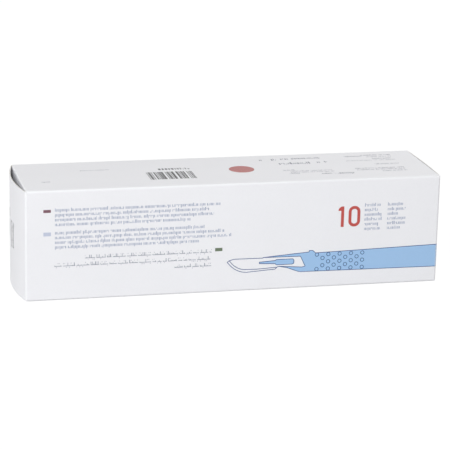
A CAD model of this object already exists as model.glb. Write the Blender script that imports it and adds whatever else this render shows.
import math
import random

import bmesh
import bpy
from mathutils import Matrix, Vector, noise
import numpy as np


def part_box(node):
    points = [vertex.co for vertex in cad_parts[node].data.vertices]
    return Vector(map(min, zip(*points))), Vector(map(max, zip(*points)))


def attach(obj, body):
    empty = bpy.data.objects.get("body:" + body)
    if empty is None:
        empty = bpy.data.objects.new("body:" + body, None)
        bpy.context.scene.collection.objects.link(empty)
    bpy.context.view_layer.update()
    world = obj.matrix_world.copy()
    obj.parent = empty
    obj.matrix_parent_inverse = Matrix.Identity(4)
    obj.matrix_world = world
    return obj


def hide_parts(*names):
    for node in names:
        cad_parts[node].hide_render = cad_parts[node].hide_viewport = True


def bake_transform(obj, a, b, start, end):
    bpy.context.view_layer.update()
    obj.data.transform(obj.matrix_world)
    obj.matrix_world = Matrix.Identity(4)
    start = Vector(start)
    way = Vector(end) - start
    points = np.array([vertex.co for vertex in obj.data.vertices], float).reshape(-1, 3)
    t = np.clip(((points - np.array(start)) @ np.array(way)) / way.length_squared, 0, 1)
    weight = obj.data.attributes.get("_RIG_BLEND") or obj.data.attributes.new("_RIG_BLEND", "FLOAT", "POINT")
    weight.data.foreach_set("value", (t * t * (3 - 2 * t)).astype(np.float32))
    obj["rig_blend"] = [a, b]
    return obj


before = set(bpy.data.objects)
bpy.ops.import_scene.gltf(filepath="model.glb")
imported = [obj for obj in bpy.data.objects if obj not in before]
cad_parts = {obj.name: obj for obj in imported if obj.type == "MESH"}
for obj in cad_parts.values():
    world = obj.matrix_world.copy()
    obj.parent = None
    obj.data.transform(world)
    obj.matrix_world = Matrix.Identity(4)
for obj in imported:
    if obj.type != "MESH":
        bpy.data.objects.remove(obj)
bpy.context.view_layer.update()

# The board. One blank of white folding boxboard makes the carton: its outside is clay-coated
# for printing, its inside is plain fibre, and the die leaves a pale raw edge. The coat is a
# little mottled and wavy, and it cracks to lighter fibre where a crease was folded.
MM = 0.001
BOARD_T = 0.45 * MM


def add(tree, kind, inputs, **settings):
    """A new shader node, its inputs set to a value or wired to another node's output."""
    node = tree.nodes.new("ShaderNode" + kind)
    for name, value in settings.items():
        setattr(node, name, value)
    for name, value in inputs.items():
        if isinstance(value, bpy.types.NodeSocket):
            tree.links.new(value, node.inputs[name])
        else:
            node.inputs[name].default_value = value
    return node


def math_node(tree, operation, a, b=0.0):
    """The result of one sum on two values."""
    return add(tree, "Math", {0: a, 1: b}, operation=operation).outputs[0]


def spread(tree, value, low, high, to_low=0.0, to_high=1.0):
    """Stretches a value from one range to another."""
    ends = {"Value": value, "From Min": low, "From Max": high, "To Min": to_low, "To Max": to_high}
    return add(tree, "MapRange", ends).outputs[0]


def mix_colours(tree, factor, a, b):
    """One colour mixed into another."""
    return add(tree, "Mix", {0: factor, 6: a, 7: b}, data_type="RGBA").outputs[2]


def speckle(tree, across, detail=2.0, stretch=(1, 1, 1)):
    """Noise over the object, with features about that far across."""
    place = add(tree, "TexCoord", {}).outputs["Object"]
    turned = add(tree, "Mapping", {"Vector": place, "Scale": stretch}).outputs[0]
    return add(tree, "TexNoise", {"Vector": turned, "Scale": 1 / across, "Detail": detail}).outputs[0]


def shader_group(name, inputs, outputs):
    """An empty node group with named sockets, and its two end nodes."""
    tree = bpy.data.node_groups.new(name, "ShaderNodeTree")
    for socket, kind, default in inputs:
        made = tree.interface.new_socket(socket, in_out="INPUT", socket_type="NodeSocket" + kind)
        made.default_value = default
    for socket, kind in outputs:
        tree.interface.new_socket(socket, in_out="OUTPUT", socket_type="NodeSocket" + kind)
    return tree, tree.nodes.new("NodeGroupInput"), tree.nodes.new("NodeGroupOutput")


def eight_bit(red, green, blue):
    """A colour given as it shows on a screen, from 0 to 255, in linear values."""
    linear = [(c / 255 / 12.92) if c < 11 else ((c / 255 + 0.055) / 1.055) ** 2.4 for c in (red, green, blue)]
    return (*linear, 1.0)


def build_board_surface():
    """What all board shares, printed or not: mottle, fibre, slow waves and cracked folds."""
    tree, given, result = shader_group(
        "board surface",
        [("Colour", "Color", (1, 1, 1, 1)), ("Core", "Color", (1, 1, 1, 1)),
         ("Roughness", "Float", 0.5), ("Fibre", "Float", 1.0)],
        [("Colour", "Color"), ("Roughness", "Float"), ("Normal", "Vector")],
    )
    cloud = speckle(tree, 22 * MM)
    mottle = speckle(tree, 0.9 * MM)
    fibre = speckle(tree, 0.5 * MM, detail=4.0, stretch=(0.22, 1, 1))
    wave = speckle(tree, 60 * MM, detail=1.0)

    fold = add(tree, "Attribute", {}, attribute_name="fold").outputs["Fac"]
    chips = spread(tree, speckle(tree, 0.7 * MM, detail=5.0, stretch=(0.5, 1, 1)), 0.5, 0.64)
    worn = math_node(tree, "MULTIPLY", fold, math_node(tree, "MULTIPLY_ADD", chips, 0.6))
    worn.node.inputs[1].links[0].from_node.inputs[2].default_value = 0.3

    tone = math_node(tree, "ADD", spread(tree, cloud, 0.3, 0.7, -0.006, 0.006), spread(tree, mottle, 0.3, 0.7, 0.985, 1.0))
    toned = add(tree, "HueSaturation", {"Value": tone, "Color": given.outputs["Colour"]}).outputs[0]
    tree.links.new(mix_colours(tree, worn, toned, given.outputs["Core"]), result.inputs["Colour"])

    rough = math_node(tree, "ADD", given.outputs["Roughness"], spread(tree, mottle, 0.3, 0.7, -0.04, 0.04))
    tree.links.new(math_node(tree, "ADD", rough, math_node(tree, "MULTIPLY", worn, 0.2)), result.inputs["Roughness"])

    grain = math_node(tree, "MULTIPLY", math_node(tree, "MULTIPLY", fibre, 0.012 * MM), given.outputs["Fibre"])
    relief = math_node(tree, "ADD", grain, math_node(tree, "MULTIPLY", wave, 0.35 * MM))
    relief = math_node(tree, "SUBTRACT", relief, math_node(tree, "MULTIPLY", worn, 0.03 * MM))
    bump = add(tree, "Bump", {"Height": relief, "Strength": 1.0, "Distance": 1.0})
    tree.links.new(bump.outputs[0], result.inputs["Normal"])
    return tree


board_surface = build_board_surface()
CORE = eight_bit(243, 243, 245)


def board_material(name, colour, roughness, fibre=1.0, shine=0.4):
    """Board with that colour on it: bare, coated or printed."""
    material = bpy.data.materials.new(name)
    material.use_nodes = True
    tree = material.node_tree
    tree.nodes.clear()
    sheet = {"Colour": colour, "Core": CORE, "Roughness": roughness, "Fibre": fibre}
    surface = add(tree, "Group", sheet, node_tree=board_surface)
    finish = {socket: surface.outputs[group_socket] for socket, group_socket in (
        ("Base Color", "Colour"), ("Roughness", "Roughness"), ("Normal", "Normal"))}
    shader = add(tree, "BsdfPrincipled", {**finish, "Specular IOR Level": shine})
    add(tree, "OutputMaterial", {"Surface": shader.outputs[0]})
    return material


coated_board = board_material("coated_board", eight_bit(244, 244, 247), 0.5)
bare_board = board_material("bare_board", eight_bit(235, 235, 236), 0.85, fibre=4.0, shine=0.2)
cut_board = board_material("cut_board", eight_bit(236, 234, 229), 0.9, fibre=5.0, shine=0.15)

# The tube. The blank folds round four long creases, and its glue flap is stuck down inside the
# lower back edge. A dust flap on the top and bottom panels is turned in at both ends, with
# its corners rounded, so that the end closures slide past it.
FOLD_R = 1 * MM
FOLD_STEPS = 6
SETBACK = 0.3 * MM
GLUE_FLAP = 12 * MM
GLUE_TAPER = 5 * MM
PANEL_END = 0.55 * MM
DUST_X = 0.42 * MM
DUST_FOLD_R = 0.5 * MM
DUST_SEAT = DUST_X + DUST_FOLD_R
DUST_L = 20 * MM
DUST_INSET = 3 * MM
DUST_CORNER = 5 * MM
TINY = 0.01 * MM

tube_low, tube_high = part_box("carton")
left_fold = tube_low.x - SETBACK
right_fold = tube_high.x + SETBACK
front, back, top = tube_low.y, tube_high.y, tube_high.z
depth = back - front
RIGHT, BACK, UP = Vector((1, 0, 0)), Vector((0, 1, 0)), Vector((0, 0, 1))


def start_board(place):
    """A mesh of one point, from which the board is drawn, and that point as its end."""
    bm = bmesh.new()
    bm.verts.layers.float.new("fold")
    return bm, bmesh.ops.create_vert(bm, co=place)["vert"]


def go(bm, ends, step):
    """Draws the board straight on from its last points or edges."""
    made = bmesh.ops.extrude_face_region(bm, geom=ends)["geom"]
    points = [g for g in made if isinstance(g, bmesh.types.BMVert)]
    bmesh.ops.translate(bm, verts=points, vec=step)
    return [g for g in made if not isinstance(g, bmesh.types.BMFace)]


def roll(bm, ends, centre, axis, angle, steps=FOLD_STEPS, worn=1.0):
    """Draws the board on round a bend, and marks how worn the bend is."""
    known = set(bm.verts)
    made = bmesh.ops.spin(bm, geom=ends, cent=centre, axis=axis, angle=angle, steps=steps)["geom_last"]
    last = [g for g in made if not isinstance(g, bmesh.types.BMFace)]
    fold = bm.verts.layers.float["fold"]
    for point in set(bm.verts) - known:
        point[fold] = 0.0 if point in last else worn
    return last


def cut_away(bm, inside):
    """Cuts out the faces whose middle passes the test."""
    gone = [f for f in bm.faces if inside(f.calc_center_median())]
    bmesh.ops.delete(bm, geom=gone, context="FACES")


def round_corners(bm, corners, radius):
    """Rounds a flap's corners, as the die cuts them."""
    bmesh.ops.bevel(bm, geom=corners, offset=radius, offset_type="OFFSET", segments=8,
                    profile=0.5, affect="VERTICES", material=-1)


def face_outwards(bm, direction):
    """Turns the coated side out, going by the face that lies farthest in that direction."""
    bmesh.ops.remove_doubles(bm, verts=bm.verts, dist=TINY)
    bmesh.ops.recalc_face_normals(bm, faces=bm.faces)
    outer = max(bm.faces, key=lambda f: f.calc_center_median().dot(direction))
    if outer.normal.dot(direction) < 0:
        bmesh.ops.reverse_faces(bm, faces=bm.faces)


def new_piece(bm, name, *materials):
    """Makes a piece of the finished mesh."""
    mesh = bpy.data.meshes.new(name)
    bm.to_mesh(mesh)
    bm.free()
    for material in materials:
        mesh.materials.append(material)
    piece = bpy.data.objects.new(name, mesh)
    bpy.context.scene.collection.objects.link(piece)
    return piece


def give_thickness(piece, thickness):
    """Thickens a sheet inwards; its second and third materials go inside and on the cut edge."""
    solid = piece.modifiers.new("thickness", "SOLIDIFY")
    solid.thickness = thickness
    solid.offset = -1
    solid.use_even_offset = True
    if len(piece.data.materials) > 2:
        solid.material_offset = 1
        solid.material_offset_rim = 2
    depsgraph = bpy.context.evaluated_depsgraph_get()
    mesh = bpy.data.meshes.new_from_object(piece.evaluated_get(depsgraph))
    piece.modifiers.clear()
    piece.data = mesh
    mesh.shade_smooth()
    mesh.set_sharp_from_angle(angle=math.radians(35))
    flat = piece.modifiers.new("flat panels", "WEIGHTED_NORMAL")
    flat.keep_sharp = True
    return piece


def draw_tube():
    """The strip of board round the carton, drawn from the glue flap's edge to the seam."""
    across = depth - 2 * DUST_INSET
    tab = DUST_INSET - FOLD_R
    panels = [
        [GLUE_FLAP],
        [top - BOARD_T - 2 * FOLD_R],
        [tab, across, tab],
        [top - 2 * FOLD_R],
        [tab, across, tab + FOLD_R - SETBACK],
    ]
    edge = Vector((tube_low.x, back - FOLD_R - GLUE_FLAP, BOARD_T))
    bm, ends = start_board(edge)
    heading = BACK
    for panel in panels:
        for length in panel:
            ends = go(bm, ends, heading * length)
        if panel is not panels[-1]:
            inward = RIGHT.cross(heading)
            ends = roll(bm, ends, ends[0].co + FOLD_R * inward, RIGHT, math.radians(90))
            heading = inward

    end_steps = [PANEL_END - SETBACK, DUST_SEAT - PANEL_END, FOLD_R - DUST_SEAT]
    middle = tube_high.x - tube_low.x - 2 * sum(end_steps)
    strip = bm.verts[:] + bm.edges[:]
    for step in [*end_steps, middle, *reversed(end_steps)]:
        strip = go(bm, strip, RIGHT * step)
    taper = 1 - 2 * GLUE_TAPER / (tube_high.x - tube_low.x)
    glue_edge = [v for v in bm.verts if (v.co - edge).cross(RIGHT).length < TINY]
    centre = Matrix.Translation(((left_fold + right_fold) / -2, 0, 0))
    bmesh.ops.scale(bm, verts=glue_edge, vec=(taper, 1, 1), space=centre)
    return bm, across


def turn_in_dust_flaps(bm, across):
    """Opens the ends of the tube for the closures, and turns the four dust flaps in."""
    cut_away(bm, lambda c: abs(c.y - front) < TINY and not left_fold + FOLD_R < c.x < right_fold - FOLD_R)
    cut_away(bm, lambda c: abs(c.y) < depth / 2 - FOLD_R
             and not left_fold + PANEL_END < c.x < right_fold - PANEL_END)
    cut_away(bm, lambda c: min(abs(c.z), abs(c.z - top)) < TINY and abs(c.y) < across / 2
             and not left_fold + DUST_SEAT < c.x < right_fold - DUST_SEAT)
    for side, end in ((-1, left_fold), (1, right_fold)):
        for up, level in ((1, top), (-1, 0)):
            crease = Vector((end - side * DUST_SEAT, 0, level))
            edges = [e for e in bm.edges if ((e.verts[0].co + e.verts[1].co) / 2 - crease).length < TINY]
            ends = edges + list(edges[0].verts)
            centre = crease - up * DUST_FOLD_R * UP
            ends = roll(bm, ends, centre, BACK, side * up * math.radians(90))
            ends = go(bm, ends, UP * up * (DUST_FOLD_R - DUST_L))
            round_corners(bm, [g for g in ends if isinstance(g, bmesh.types.BMVert)], DUST_CORNER)


tube_mesh, dust_width = draw_tube()
turn_in_dust_flaps(tube_mesh, dust_width)
face_outwards(tube_mesh, UP)
tube = new_piece(tube_mesh, "carton_tube", coated_board, bare_board, cut_board)
give_thickness(tube, BOARD_T)
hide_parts("carton")
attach(tube, "carton")

# The end closures. Each is the end of the front panel, folded round the end of the tube, bowed
# out by the board's spring, and folded again into a narrower tuck flap that slides in along the
# back panel. Two slits lock the tuck fold. The board bends at the front fold as the end opens.
TUCK_FOOT = 1.29 * MM
TUCK_HEAD = 0.84 * MM
TUCK_L = 14 * MM
TUCK_LEAN = math.radians(9.8)
TUCK_CORNER = 8 * MM
SLIT_L = 5 * MM
SLIT_W = 0.5 * MM
BOW_STEPS = 24


def bow_of(side):
    """How the end closure bows: its bulge, the radius of the arc that joins the middles of its
    two folds, the angle at which the panel leaves them, and where they lie from the front."""
    low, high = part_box("right_end_flap" if side > 0 else "left_end_flap")
    bulge = high.x - right_fold if side > 0 else left_fold - low.x
    tuck_y = high.y - front - FOLD_R
    half = (tuck_y - FOLD_R) / 2
    radius = (half ** 2 + bulge ** 2) / (2 * bulge)
    return bulge, radius, math.asin(half / radius), tuck_y


def draw_closure(side, levels, lift=0.0, bleed=None):
    """Draws a closure's outer face in the end's own directions, row by row up through the levels:
    X runs into the carton from the end fold, Y back from the front face. With a bleed it stops
    that far along the panel."""
    bulge, radius, leave, tuck_y = bow_of(side)
    first = Vector((FOLD_R, FOLD_R, levels[0]))
    tuck = Vector((FOLD_R, tuck_y, levels[0]))
    middle = Vector((FOLD_R + radius - bulge, (FOLD_R + tuck_y) / 2, levels[0]))
    bm, ends = start_board(first - (FOLD_R + lift) * BACK)
    ends = roll(bm, ends, first, UP, leave - math.radians(90))
    if bleed:
        roll(bm, ends, middle, UP, -bleed / radius, steps=2, worn=0.0)
    else:
        ends = roll(bm, ends, middle, UP, -2 * leave, steps=BOW_STEPS, worn=0.0)
        ends = roll(bm, ends, tuck, UP, leave - math.radians(90) - TUCK_LEAN)
        along = Vector((math.cos(TUCK_LEAN), -math.sin(TUCK_LEAN), 0))
        for length in (SLIT_W, TUCK_L - SLIT_W):
            ends = go(bm, ends, along * length)
    strip = bm.verts[:] + bm.edges[:]
    for lower, upper in zip(levels, levels[1:]):
        strip = go(bm, strip, UP * (upper - lower))
    return bm


def cut_tuck(bm, side, foot, head):
    """Cuts the tuck fold and flap narrower than the panel, rounds the flap's corners and cuts
    the two slits beside the fold."""
    bulge, radius, leave, tuck_y = bow_of(side)
    panel_end = tuck_y + FOLD_R * math.sin(leave)
    cut_away(bm, lambda c: not foot < c.z < head and (c.x > FOLD_R and c.y > 2 * FOLD_R or c.y > panel_end))
    tip = max(v.co.x for v in bm.verts)
    round_corners(bm, [v for v in bm.verts if v.co.x > tip - TINY], TUCK_CORNER)
    for level in (foot + SLIT_L, head - SLIT_L):
        everything = bm.verts[:] + bm.edges[:] + bm.faces[:]
        bmesh.ops.bisect_plane(bm, geom=everything, plane_co=UP * level, plane_no=UP)
    slit = FOLD_R * (1 + math.sin(TUCK_LEAN))
    cut_away(bm, lambda c: slit < c.x < slit + SLIT_W * math.cos(TUCK_LEAN) and c.y > 2 * FOLD_R
             and not foot + SLIT_L < c.z < head - SLIT_L)


def to_end(bm, side):
    """Puts what was drawn in an end's own directions at that end of the carton."""
    mirrored = Matrix.Diagonal((-side, 1, 1, 1))
    place = Matrix.Translation((right_fold if side > 0 else left_fold, front, 0))
    bmesh.ops.transform(bm, matrix=place @ mirrored, verts=bm.verts)
    face_outwards(bm, RIGHT * side)


def bend_with(piece, side):
    """Bends a piece round the front fold of that end as its closure opens."""
    end = right_fold if side > 0 else left_fold
    start = Vector((end - side * FOLD_R, front, 0))
    stop = Vector((end, front + FOLD_R, 0))
    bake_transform(piece, "carton", "right_end_flap" if side > 0 else "left_end_flap", start=start, end=stop)


def make_closure(side, node):
    """One end closure, in the place of its solid."""
    low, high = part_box(node)
    foot, head = TUCK_FOOT, top - TUCK_HEAD
    bm = draw_closure(side, [low.z, foot, head, high.z])
    cut_tuck(bm, side, foot, head)
    to_end(bm, side)
    piece = new_piece(bm, node.replace("flap", "closure"), coated_board, bare_board, cut_board)
    give_thickness(piece, BOARD_T)
    bend_with(piece, side)
    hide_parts(node)


make_closure(-1, "left_end_flap")
make_closure(1, "right_end_flap")

# The main print. A line drawing of the instrument with its blue handle, the count in red and a
# red size dot are litho-printed on the coat, so each keeps the board's mottle and sheen.
# The drawing bleeds over the right fold on to the closure.
INK_T = 0.04 * MM
BLEED = 4 * MM

blue_ink = board_material("blue_ink", eight_bit(163, 199, 236), 0.46)
line_ink = board_material("line_ink", eight_bit(42, 75, 132), 0.46)
red_ink = board_material("red_ink", eight_bit(192, 82, 76), 0.44)
dot_ink = board_material("dot_ink", eight_bit(177, 99, 96), 0.46)
black_ink = board_material("black_ink", eight_bit(108, 108, 111), 0.46)

for node, material, slot in (
    ("front_ink_blue", blue_ink, "blue_ink"),
    ("front_ink_line", line_ink, "line_ink"),
    ("front_ink_red", red_ink, "red_ink"),
    ("top_ink_red", dot_ink, "red_ink"),
    ("top_ink_black", black_ink, "black_ink"),
):
    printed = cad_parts[node]
    printed.data.materials.clear()
    printed.data.materials.append(material)


def print_over_fold(name, material, bands):
    """Carries bands of ink round the right fold; each band is its lower and upper level."""
    bm = bmesh.new()
    bm.verts.layers.float.new("fold")
    for low, high in bands:
        band = draw_closure(1, [low, high], lift=INK_T, bleed=BLEED)
        to_end(band, 1)
        mesh = bpy.data.meshes.new("band")
        band.to_mesh(mesh)
        band.free()
        bm.from_mesh(mesh)
        bpy.data.meshes.remove(mesh)
    piece = new_piece(bm, name, material)
    give_thickness(piece, INK_T)
    bend_with(piece, 1)


fill_low, fill_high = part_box("front_ink_blue")
line_low, line_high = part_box("front_ink_line")
print_over_fold("fold_ink_blue", blue_ink, [(fill_low.z, fill_high.z)])
print_over_fold("fold_ink_line", line_ink, [(line_low.z, fill_low.z), (fill_high.z, line_high.z)])

# The small print. Paragraphs, a list of names, faint rows on the top panel and a few lines on
# the left closure are printed in pale grey-blue ink. They are plain marks of a letter's size,
# set in lines and words, with three small colour chips beside the paragraphs.
LETTER_INK_T = 0.03 * MM
MARK_W = (0.16, 0.4)
MARK_GAP = 0.24
WORD_GAP = 0.52
WORD_MARKS = (5, 20)
MARKS = 9 * ((0, 1),) + ((0, 0.4), (0.6, 0.4), (0, 1.4), (-0.4, 1.4))
JOINED_MARKS = ((0, 1), (0, 2), (1.5, 0.4), (-0.9, 0.4), (0, 0.6))
JOINED_WORD = (3, 9)
BASE_H = 0.3

pale_print = board_material("pale_print", eight_bit(164, 172, 194), 0.48)
faint_print = board_material("faint_print", eight_bit(162, 162, 172), 0.48)
script_print = board_material("script_print", eight_bit(134, 138, 156), 0.48)
grey_print = board_material("grey_print", eight_bit(98, 99, 104), 0.48)
mid_print = board_material("mid_print", eight_bit(128, 128, 142), 0.48)
red_chip = board_material("red_chip", eight_bit(123, 84, 96), 0.46)
pale_chip = board_material("pale_chip", eight_bit(198, 204, 222), 0.46)
green_chip = board_material("green_chip", eight_bit(106, 121, 98), 0.46)

front_sheet = Matrix.Translation((left_fold, front, 0)) @ Matrix.Rotation(math.radians(90), 4, "X")
top_sheet = Matrix.Translation((left_fold, front, top))


def block(bm, sheet, x, y, width, height):
    """A block of ink on a sheet, in millimetres from the sheet's lower left corner."""
    size = Matrix.Diagonal((width * MM, height * MM, LETTER_INK_T, 1))
    place = Matrix.Translation(((x + width / 2) * MM, (y + height / 2) * MM, LETTER_INK_T / 2))
    bmesh.ops.create_cube(bm, size=1, matrix=sheet @ place @ size)


def line_of_print(bm, sheet, draw, left, right, foot, height, joined=False):
    """One line of small print from left to right, in words of marks that start and end at
    different heights. In a joined script they stand farther apart on a base line."""
    x = left
    while x < right - MARK_W[1] * height:
        start = x
        for _ in range(draw.randint(*(JOINED_WORD if joined else WORD_MARKS))):
            width = draw.uniform(*MARK_W) * height
            low, tall = draw.choice(JOINED_MARKS if joined else MARKS)
            if x + width < right:
                block(bm, sheet, x, foot + low * height, width, tall * height)
                x += width + MARK_GAP * (2.5 if joined else 1) * height
        if joined:
            block(bm, sheet, start, foot, min(x, right) - start - MARK_GAP * height, BASE_H * height)
        x += WORD_GAP * height


def print_lines(name, material, body, sheet, seed, lines):
    """A piece of small print; a line is its left and right ends, its foot and its height."""
    draw = random.Random(seed)
    bm = bmesh.new()
    for line in lines:
        line_of_print(bm, sheet, draw, *line)
    piece = new_piece(bm, name, material)
    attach(piece, body)


def rows(left, ends, first_foot, step, height):
    """Lines of print one under the other, from their right ends."""
    return [(left, end, first_foot - step * k, height) for k, end in enumerate(ends)]


X_HEIGHT = 1.15
paragraphs = rows(13.9, (91.9, 86.8, 89.3, 77.9), 42.9, 2.31, X_HEIGHT)
paragraphs += rows(13.9, (84.6, 94.4, 97.5, 82), 32, 2.29, X_HEIGHT)
joined_script = [(27.9, 88.4, 19.9, 0.8, True), (13.6, 88.4, 16.5, 0.8, True), (70.4, 88.4, 13.2, 0.8, True)]
names = rows(162.7, (170.7, 169.1, 171.2, 171.2, 170, 170.7), 39.1, 2.33, X_HEIGHT)
names += rows(174.1, (182.1, 183.2, 179.3, 184.3, 183.1, 180.7), 39.1, 2.33, X_HEIGHT)
print_lines("front_small_print", pale_print, "carton", front_sheet, 4,
            paragraphs + names)
print_lines("front_joined_print", script_print, "carton", front_sheet, 5, joined_script)

left_rows = [(31, 45, 33.5, 0.7), (10, 14, 15, 1)]
middle_rows = [(127.5, 133, 19.6, 1.5), (130, 151.5, 17.6, 1), (130, 151.5, 15.2, 1), (129, 134, 13.4, 1)]
right_rows = [(164, 173, 41.5, 1.2), (173, 188, 42.8, 1.2), (175, 188, 39.8, 1), (177, 187, 36, 1.2),
              (162.5, 188, 33.4, 0.8), (175, 187.5, 25.5, 1.2), (163, 188, 18, 1.2), (163, 188, 15.4, 1.2),
              (175, 187.5, 12.2, 1.2)]
print_lines("top_small_print", faint_print, "carton", top_sheet, 11,
            left_rows + middle_rows + right_rows)
print_lines("top_code_print", grey_print, "carton", top_sheet, 7,
            [(68.3, 84, 29.6, 2.8)])
print_lines("top_label_print", mid_print, "carton", top_sheet, 9,
            [(128.5, 144.5, 31.6, 2.4), (137, 152.5, 41, 1.8), (144, 151.5, 11.2, 1.2), (152, 160.5, 10.4, 2),
             (120.6, 122.2, 40.2, 1.8), (126.6, 129.6, 40.4, 2), (131.4, 135.2, 40.6, 2), (147.8, 149.6, 32.4, 2),
             (151.6, 153.6, 32.4, 2)])

for name, colour, x, foot, height in (("red_chip", red_chip, 8.5, 42.5, 1.4), ("pale_chip", pale_chip, 8.5, 31.3, 1.8),
                                      ("green_chip", green_chip, 89.8, 20.3, 1.6)):
    chip = bmesh.new()
    block(chip, front_sheet, x, foot, 3.5, height)
    chip_piece = new_piece(chip, name, colour)
    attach(chip_piece, "carton")


def heavy_bars(low, high, draw):
    """Wider, darker bars at uneven steps over the row of fine bars on the top panel."""
    bm = bmesh.new()
    x = low.x + HEAVY_STEP[0]
    while x < high.x - HEAVY_STEP[0]:
        width = draw.uniform(*HEAVY_W)
        block(bm, Matrix.Translation((x, low.y, top + INK_T / 2)), 0, 0, width, (high.y - low.y) / MM)
        x += draw.uniform(*HEAVY_STEP)
    piece = new_piece(bm, "top_heavy_bars", heavy_ink)
    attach(piece, "carton")


HEAVY_W = (0.3, 0.7)
HEAVY_STEP = (1 * MM, 3.6 * MM)
heavy_ink = board_material("heavy_ink", eight_bit(30, 30, 32), 0.46)
heavy_bars(*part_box("top_ink_black"), random.Random(3))


def left_closure_sheet(from_front):
    """The sheet for a line that runs up the left closure, that far from the front face."""
    bulge, radius, leave, tuck_y = bow_of(-1)
    outer = radius + FOLD_R
    middle = Vector((left_fold + FOLD_R + radius - bulge, front + (FOLD_R + tuck_y) / 2, 0))
    angle = (from_front - (FOLD_R + tuck_y) / 2) / outer
    turn = Matrix.Rotation(-angle, 4, "Z") @ Matrix.Translation((-outer, 0, 0))
    upright = Matrix(((0, 0, -1, 0), (0, 1, 0, 0), (1, 0, 0, 0), (0, 0, 0, 1)))
    return Matrix.Translation(middle) @ turn @ upright


closure_ink = board_material("closure_ink", eight_bit(122, 122, 125), 0.48)
closure_print = bmesh.new()
closure_draw = random.Random(23)
for distance, low, high in ((18.5, 20.5, 33), (23, 20, 35), (31, 23, 37)):
    line_of_print(closure_print, left_closure_sheet(distance * MM), closure_draw, low, high, 0, 2.2)
left_print = new_piece(closure_print, "left_small_print", closure_ink)
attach(left_print, "left_end_flap")

# The sachets. Ten pouches of foil laminate lie in a stack, each with a scalpel sealed in it: two
# webs crimped flat all round and drawn tight over the handle, which leaves the foil tented,
# dented and finely creased towards the seals.
SACHET_COUNT = 10
SEAL_T = 0.4 * MM
SIDE_SEAL = 7 * MM
END_SEAL = 10 * MM
SLOPE_L = 16 * MM
POUCH_GRID = (110, 30)
POUCH_CORNER = 2 * MM
HANDLE_HALF = 5.5 * MM
BLADE_HALF = 3.2 * MM
BLADE_END = 52 * MM
CREASE_DEPTH = 0.34 * MM


def build_foil():
    """Foil laminate: a soft metal sheen, fine creases, and crimp lines pressed into the seals."""
    material = bpy.data.materials.new("foil_laminate")
    material.use_nodes = True
    tree = material.node_tree
    tree.nodes.clear()
    seal = add(tree, "Attribute", {}, attribute_name="seal").outputs["Fac"]
    cloud = speckle(tree, 9 * MM, detail=3.0)
    creases = speckle(tree, 3.2 * MM, detail=6.0, stretch=(0.5, 1, 1))
    place = add(tree, "TexCoord", {}).outputs["Object"]
    crimp = add(tree, "TexWave", {"Vector": place, "Scale": 0.35 / MM, "Distortion": 0.0},
                wave_type="BANDS", bands_direction="X").outputs["Fac"]
    base = mix_colours(tree, spread(tree, cloud, 0.35, 0.65), eight_bit(196, 199, 205), eight_bit(214, 217, 221))
    rough = spread(tree, creases, 0.3, 0.7, 0.3, 0.42)
    pressed = math_node(tree, "MULTIPLY", math_node(tree, "MULTIPLY", crimp, seal), 0.05 * MM)
    relief = math_node(tree, "ADD", pressed, math_node(tree, "MULTIPLY", creases, 0.16 * MM))
    bump = add(tree, "Bump", {"Height": relief, "Strength": 1.0, "Distance": 1.0})
    shader = add(tree, "BsdfPrincipled", {"Base Color": base, "Roughness": rough, "Metallic": 0.5,
                                          "Normal": bump.outputs[0]})
    add(tree, "OutputMaterial", {"Surface": shader.outputs[0]})
    return material


foil = build_foil()


def web_rise(x, y, length, width, thickness, seed):
    """How far a web stands off the middle of its sachet, and whether it is seal there."""
    from_end = min(x, length - x) - END_SEAL
    from_side = abs(y - width / 2)
    half = width / 2 - SIDE_SEAL
    if from_end <= 0 or from_side >= half:
        return SEAL_T / 2, 1.0
    lens_r = ((2 * half) ** 2 + thickness ** 2) / (4 * thickness)
    lens = math.sqrt(lens_r ** 2 - from_side ** 2) - lens_r + thickness / 2
    slope = thickness / 2 * from_end / SLOPE_L
    along = min(1.0, x / BLADE_END)
    held = BLADE_HALF + (HANDLE_HALF - BLADE_HALF) * along ** 2
    tent = thickness / 2 * min(1.0, (half - from_side) / (half - held))
    rise = min(lens, slope, tent)
    crease = noise.noise(Vector((x / (7 * MM), y / (4 * MM), seed)))
    fine = noise.noise(Vector((x / (2.6 * MM), y / (1.9 * MM), seed + 9)))
    slack = min(1.0, (thickness / 2 - rise) / (0.4 * thickness) + 0.15)
    rise -= CREASE_DEPTH * slack * (0.75 * abs(crease) + 0.25 * abs(fine))
    return max(rise, SEAL_T / 2), 0.0


def make_sachet(number):
    """One sealed sachet, in the place of its solid."""
    node = f"sachet_{number:02d}"
    low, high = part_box(node)
    size = high - low
    bm = bmesh.new()
    seal = bm.verts.layers.float.new("seal")
    grid = bmesh.ops.create_grid(bm, x_segments=POUCH_GRID[0], y_segments=POUCH_GRID[1], size=0.5)["verts"]
    bmesh.ops.scale(bm, verts=grid, vec=(size.x, size.y, 1))
    for v in bm.verts:
        x, y = v.co.x + size.x / 2, v.co.y + size.y / 2
        v.co.z, v[seal] = web_rise(x, y, size.x, size.y, size.z, 3.7 * number)
    lower = bmesh.ops.duplicate(bm, geom=bm.verts[:] + bm.edges[:] + bm.faces[:])["geom"]
    lower_verts = [g for g in lower if isinstance(g, bmesh.types.BMVert)]
    bmesh.ops.scale(bm, verts=lower_verts, vec=(1, 1, -1))
    bmesh.ops.bridge_loops(bm, edges=[e for e in bm.edges if e.is_boundary])
    bmesh.ops.recalc_face_normals(bm, faces=bm.faces)
    bmesh.ops.translate(bm, verts=bm.verts, vec=(low + high) / 2)
    piece = new_piece(bm, f"foil_{node}", foil)
    piece.data.shade_smooth()
    piece.data.set_sharp_from_angle(angle=math.radians(50))
    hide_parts(node)
    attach(piece, "carton")


for sachet_number in range(1, SACHET_COUNT + 1):
    make_sachet(sachet_number)

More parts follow.
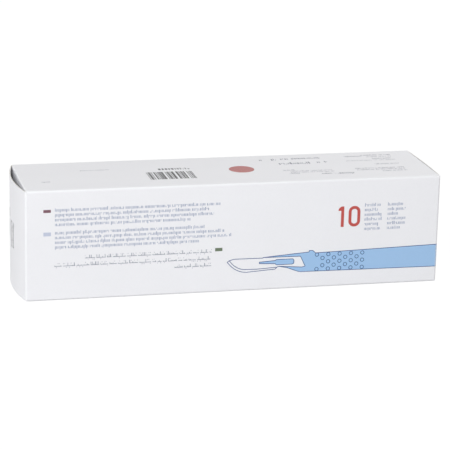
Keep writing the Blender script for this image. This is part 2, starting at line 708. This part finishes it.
# The stage. The carton lies on a plain white table in soft daylight: a large lamp beside the
# camera, a weaker one from the left and an even pale sky. Where the camera looks past the
# carton it sees plain white, with only a faint shadow under the board.
TABLE = 6.0
WHITE_SHARE = 0.8
SKY = 0.48


def seen_directly(tree):
    """1 for what the camera, a reflection or a see-through surface shows, and 0 for light."""
    path = add(tree, "LightPath", {})
    shown = math_node(tree, "MAXIMUM", path.outputs["Is Camera Ray"], path.outputs["Is Glossy Ray"])
    return math_node(tree, "MAXIMUM", shown, path.outputs["Is Transmission Ray"])


table_mesh = bmesh.new()
bmesh.ops.create_grid(table_mesh, x_segments=1, y_segments=1, size=TABLE / 2)
table_white = bpy.data.materials.new("table_white")
table_white.use_nodes = True
table_tree = table_white.node_tree
table_tree.nodes.clear()
paint = add(table_tree, "BsdfDiffuse", {"Color": (0.5, 0.5, 0.5, 1)})
glow = add(table_tree, "Emission", {"Color": (1, 1, 1, 1), "Strength": 1.2})
share = math_node(table_tree, "MULTIPLY", seen_directly(table_tree), WHITE_SHARE)
both = add(table_tree, "MixShader", {0: share, 1: paint.outputs[0], 2: glow.outputs[0]})
add(table_tree, "OutputMaterial", {"Surface": both.outputs[0]})
table = new_piece(table_mesh, "table", table_white)

world = bpy.data.worlds.new("daylight")
bpy.context.scene.world = world
world.use_nodes = True
world.node_tree.nodes.clear()
sky = add(world.node_tree, "Background", {"Color": (1, 0.995, 0.985, 1), "Strength": SKY})
plain = add(world.node_tree, "Background", {"Color": (1, 1, 1, 1), "Strength": 1.0})
both = add(world.node_tree, "MixShader",
           {0: seen_directly(world.node_tree), 1: sky.outputs[0], 2: plain.outputs[0]})
add(world.node_tree, "OutputWorld", {"Surface": both.outputs[0]})

# The camera stands low in front, a little to the left, with a long lens and a slight tilt of
# the horizon.
FOCAL = 2040
FRAME_W = 450
SENSOR = 36.0
AZIMUTH = math.radians(-13.52)
ELEVATION = math.radians(15.96)
TILT = math.radians(1.27)
DISTANCE = 0.985
AIM = Vector((1.7 * MM, 0, 25.5 * MM))
COOL = (0.975, 0.985, 1)


def towards(azimuth, elevation):
    """The direction from the carton to something seen at that azimuth and elevation."""
    flat = math.cos(elevation)
    return Vector((math.sin(azimuth) * flat, -math.cos(azimuth) * flat, math.sin(elevation)))


camera_data = bpy.data.cameras.new("camera")
camera_data.sensor_width = SENSOR
camera_data.lens = FOCAL / FRAME_W * SENSOR
camera = bpy.data.objects.new("camera", camera_data)
bpy.context.scene.collection.objects.link(camera)
away = towards(AZIMUTH, ELEVATION)
turn = (-away).to_track_quat("-Z", "Y").to_matrix().to_4x4()
camera.matrix_world = Matrix.Translation(AIM + away * DISTANCE) @ turn @ Matrix.Rotation(TILT, 4, "Z")
bpy.context.scene.camera = camera


def soft_lamp(name, azimuth, elevation, distance, size, power):
    """A square lamp that faces the carton."""
    lamp_data = bpy.data.lights.new(name, "AREA")
    lamp_data.size = size
    lamp_data.energy = power
    lamp_data.color = COOL
    lamp = bpy.data.objects.new(name, lamp_data)
    bpy.context.scene.collection.objects.link(lamp)
    direction = towards(math.radians(azimuth), math.radians(elevation))
    facing = (-direction).to_track_quat("-Z", "Y").to_matrix().to_4x4()
    lamp.matrix_world = Matrix.Translation(AIM + direction * distance) @ facing


soft_lamp("key", -16, 25, 1.2, 0.9, 7.3)
soft_lamp("fill", -70, 23, 1.2, 1.0, 4.8)
soft_lamp("back", 140, 12, 1.4, 1.2, 3.4)

bpy.context.scene.view_settings.view_transform = "Standard"
